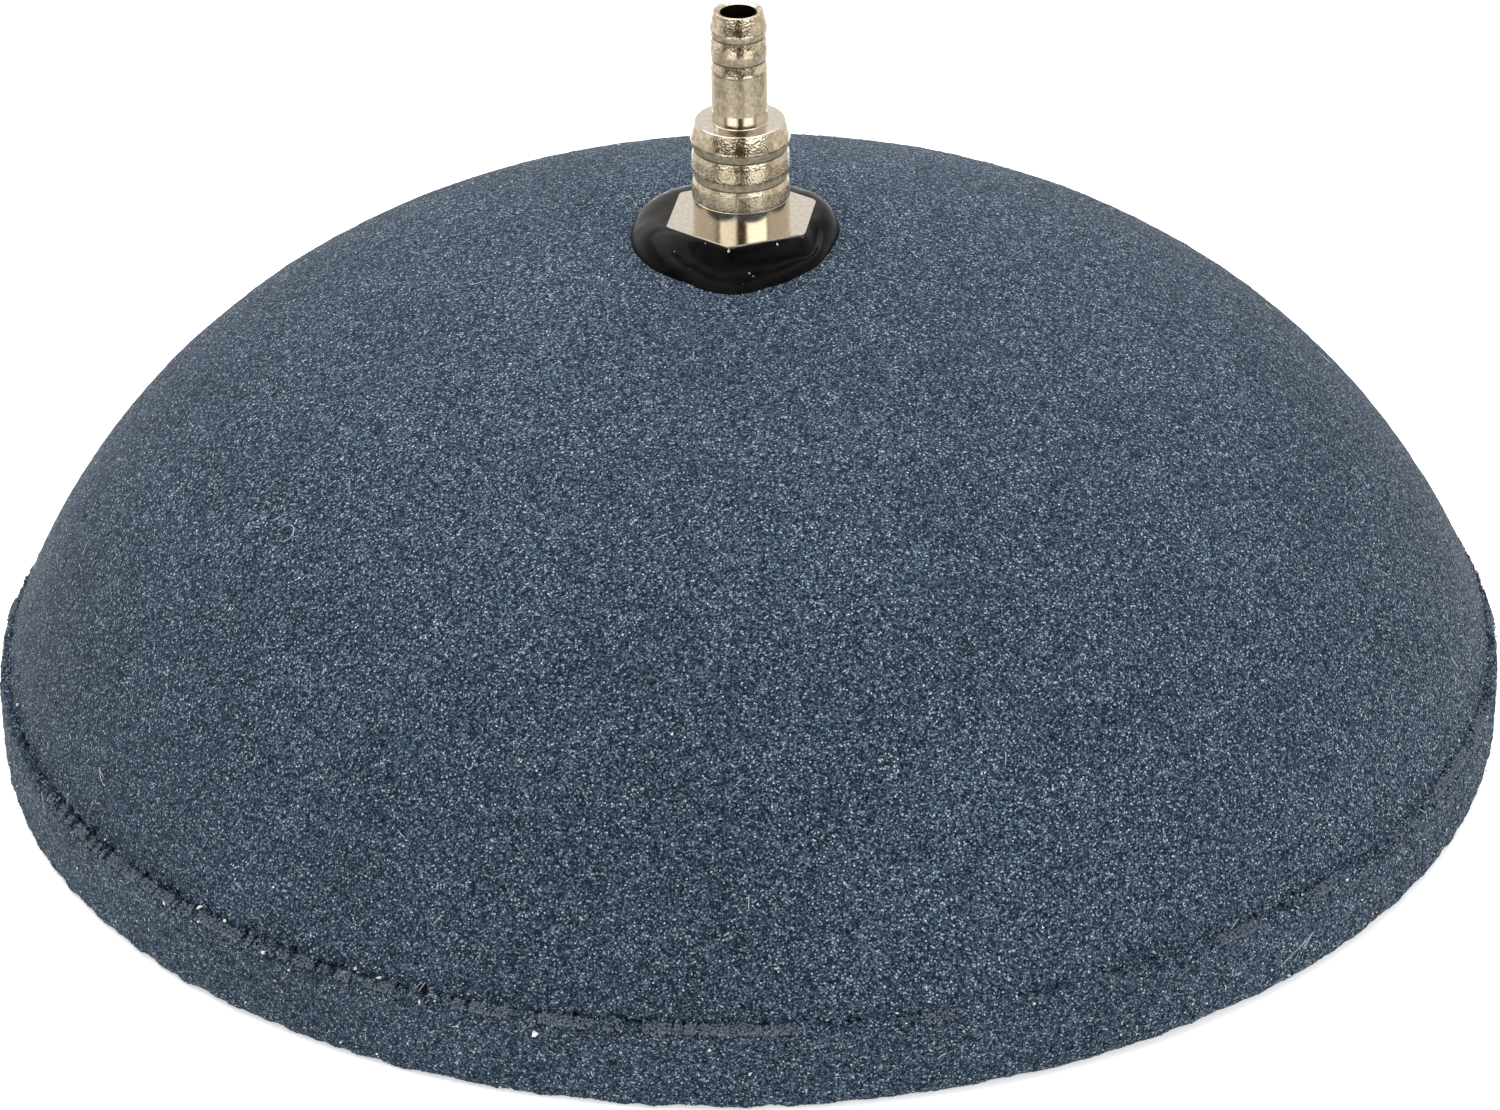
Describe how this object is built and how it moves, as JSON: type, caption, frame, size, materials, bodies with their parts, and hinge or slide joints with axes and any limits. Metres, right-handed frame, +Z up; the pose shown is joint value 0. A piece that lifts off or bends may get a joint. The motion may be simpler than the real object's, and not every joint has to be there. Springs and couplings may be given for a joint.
{
  "type": "dome gas diffuser",
  "caption": "Low porous-grit dome on a flat round disc, fed through a stepped metal hose barb on its crown, that spreads carbon dioxide or air into pond or aquarium water.",
  "frame": {"origin": "centre of the disc's flat underside, on the surface that the part stands on", "axes": "+Z up along the dome's and the barb's common axis; -Y towards the viewer of the reference view; +X to the right"},
  "size_m": [0.2, 0.2, 0.099],
  "materials": {
    "grit_dome": "matte",
    "grit_disc": "matte",
    "bond": "matte",
    "nickel_plate": "satin",
    "sealant": "gloss",
    "gasket_rubber": "matte",
    "washer_steel": "satin",
    "nut_brass": "satin"
  },
  "bodies": {
    "root": {"base_disc": "grit_disc", "seam_bond": "bond", "dome_shell": "grit_dome", "inlet_fitting": "nickel_plate", "sealant_collar": "sealant", "inner_gasket": "gasket_rubber", "inner_washer": "washer_steel", "lock_nut": "nut_brass"}
  },
  "joints": []
}
